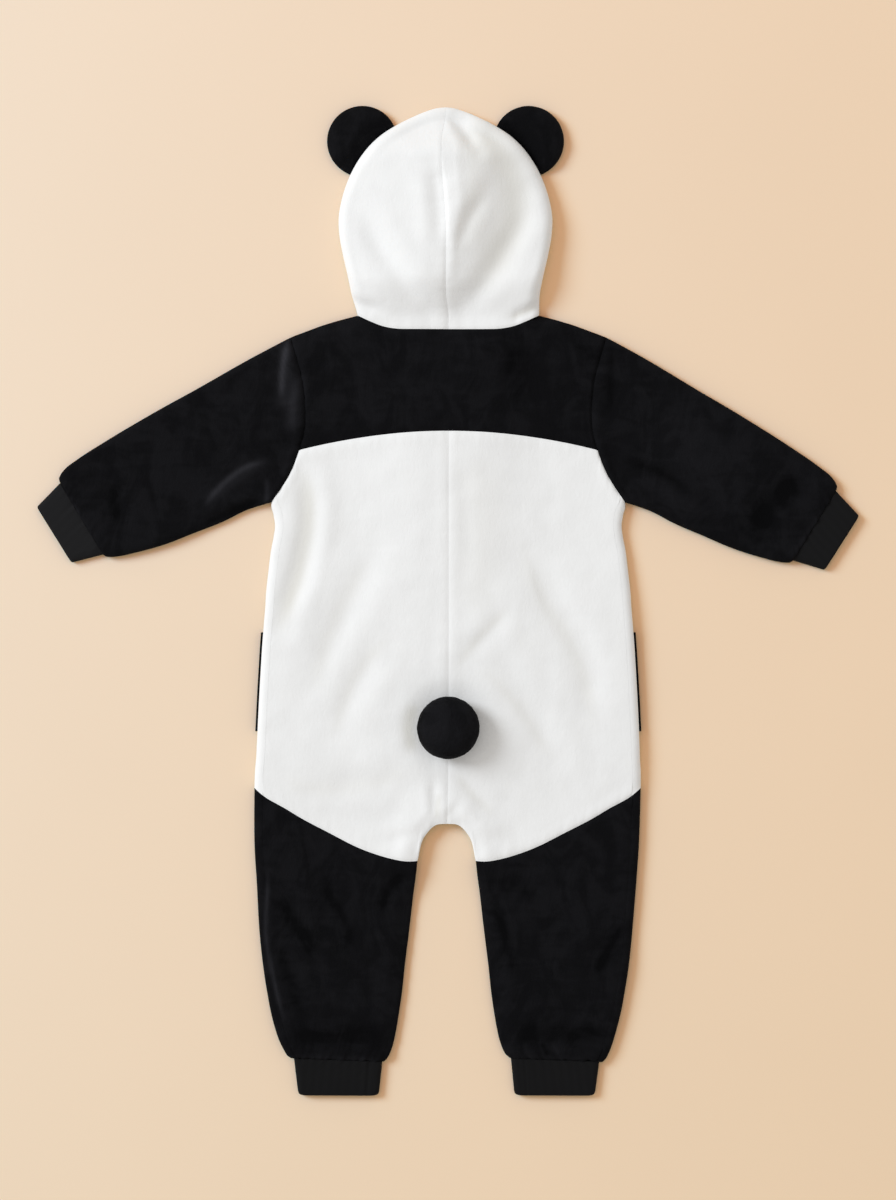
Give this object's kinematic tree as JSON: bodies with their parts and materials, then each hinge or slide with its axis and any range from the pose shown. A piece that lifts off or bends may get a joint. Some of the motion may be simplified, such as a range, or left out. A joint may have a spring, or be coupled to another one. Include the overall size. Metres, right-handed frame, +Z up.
{
  "type": "panda onesie",
  "caption": "Hooded fleece one-piece for a toddler with round ears and a ball tail, laid flat on its front with the back upwards.",
  "frame": {"origin": "on the surface under the middle of the whole laid-out outline", "axes": "+Y from the feet to the hood, +X to the right as seen from above the back, +Z up out of the surface"},
  "size_m": [0.7622, 0.917, 0.0462],
  "materials": {
    "white_fleece": "white short-pile plush fleece with a soft nap",
    "black_fleece": "black short-pile plush fleece with brushed nap patches",
    "black_knit": "smooth black stretch knit",
    "button_plastic": "black polished plastic"
  },
  "bodies": {
    "root": {"back_left": "white_fleece", "back_leg_left": "black_fleece", "back_leg_right": "black_fleece", "back_right": "white_fleece", "back_yoke": "black_fleece", "button_1": "button_plastic", "button_2": "button_plastic", "button_3": "button_plastic", "button_4": "button_plastic", "button_5": "button_plastic", "ear_left": "black_fleece", "ear_right": "black_fleece", "front_left": "white_fleece", "front_leg_left": "black_fleece", "front_leg_right": "black_fleece", "front_right": "white_fleece", "front_yoke_left": "black_fleece", "front_yoke_right": "black_fleece", "hood_left": "white_fleece", "hood_right": "white_fleece", "leg_cuff_left": "black_knit", "leg_cuff_right": "black_knit", "placket": "white_fleece", "pocket_left": "black_fleece", "pocket_right": "black_fleece", "sleeve_cuff_left": "black_knit", "sleeve_cuff_right": "black_knit", "sleeve_left": "black_fleece", "sleeve_right": "black_fleece", "tail": "black_fleece"}
  },
  "joints": []
}
